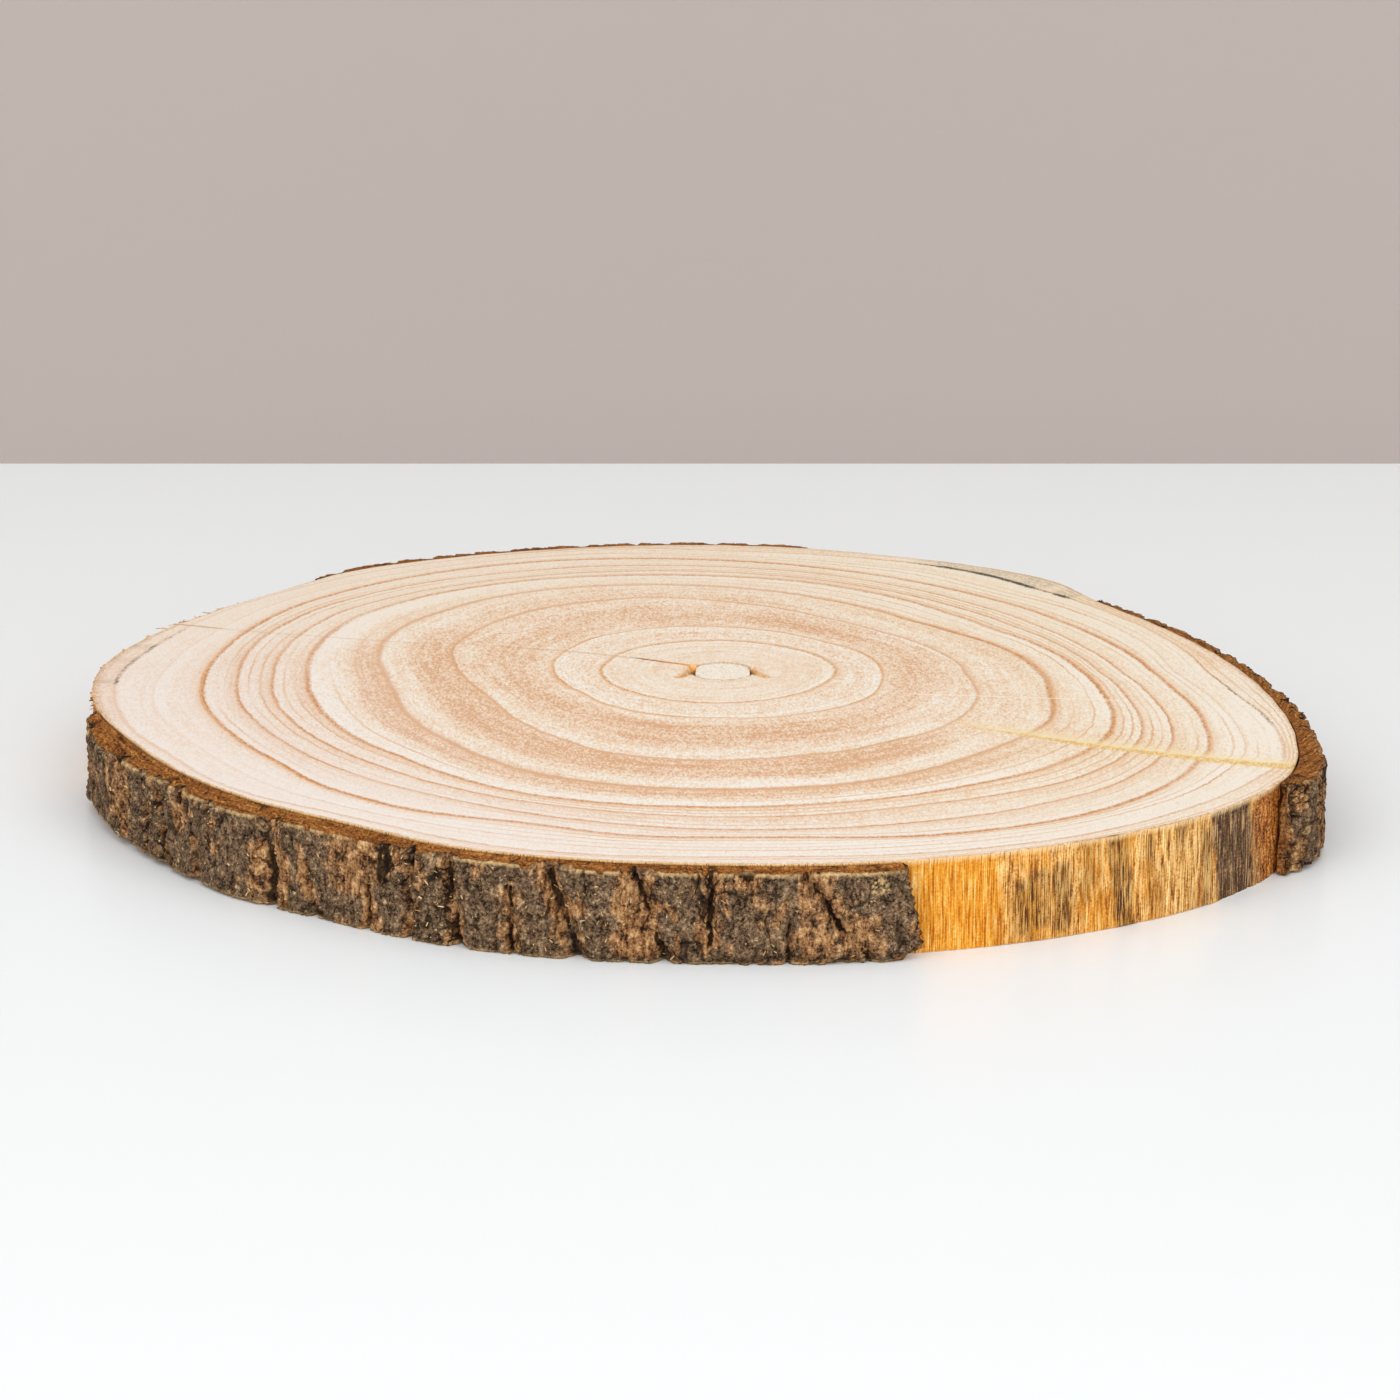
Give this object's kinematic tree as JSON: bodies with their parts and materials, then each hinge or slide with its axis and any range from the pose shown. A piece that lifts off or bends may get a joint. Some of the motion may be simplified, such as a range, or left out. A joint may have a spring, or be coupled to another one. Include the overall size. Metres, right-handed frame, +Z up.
{
  "type": "wood slice",
  "caption": "Round slice sawn across a young trunk, with growth rings, a plugged pith hole and strips of furrowed bark on part of its edge.",
  "frame": {"origin": "on the surface that the slice lies on, under the middle of its bounding box", "axes": "+Z up through the thickness, +X to the right along the widest way across, -Y towards the viewer"},
  "size_m": [0.35, 0.3446, 0.026],
  "materials": {
    "sawn_wood": "sawn and sanded end grain, unsealed, matt",
    "plug_wood": "sawn end grain, unsealed, matt",
    "bark": "rough furrowed bark, dry, matt"
  },
  "bodies": {
    "root": {"wood_disc": "sawn_wood", "pith_plug": "plug_wood", "bark_front": "bark", "bark_right": "bark", "bark_back": "bark"}
  },
  "joints": []
}
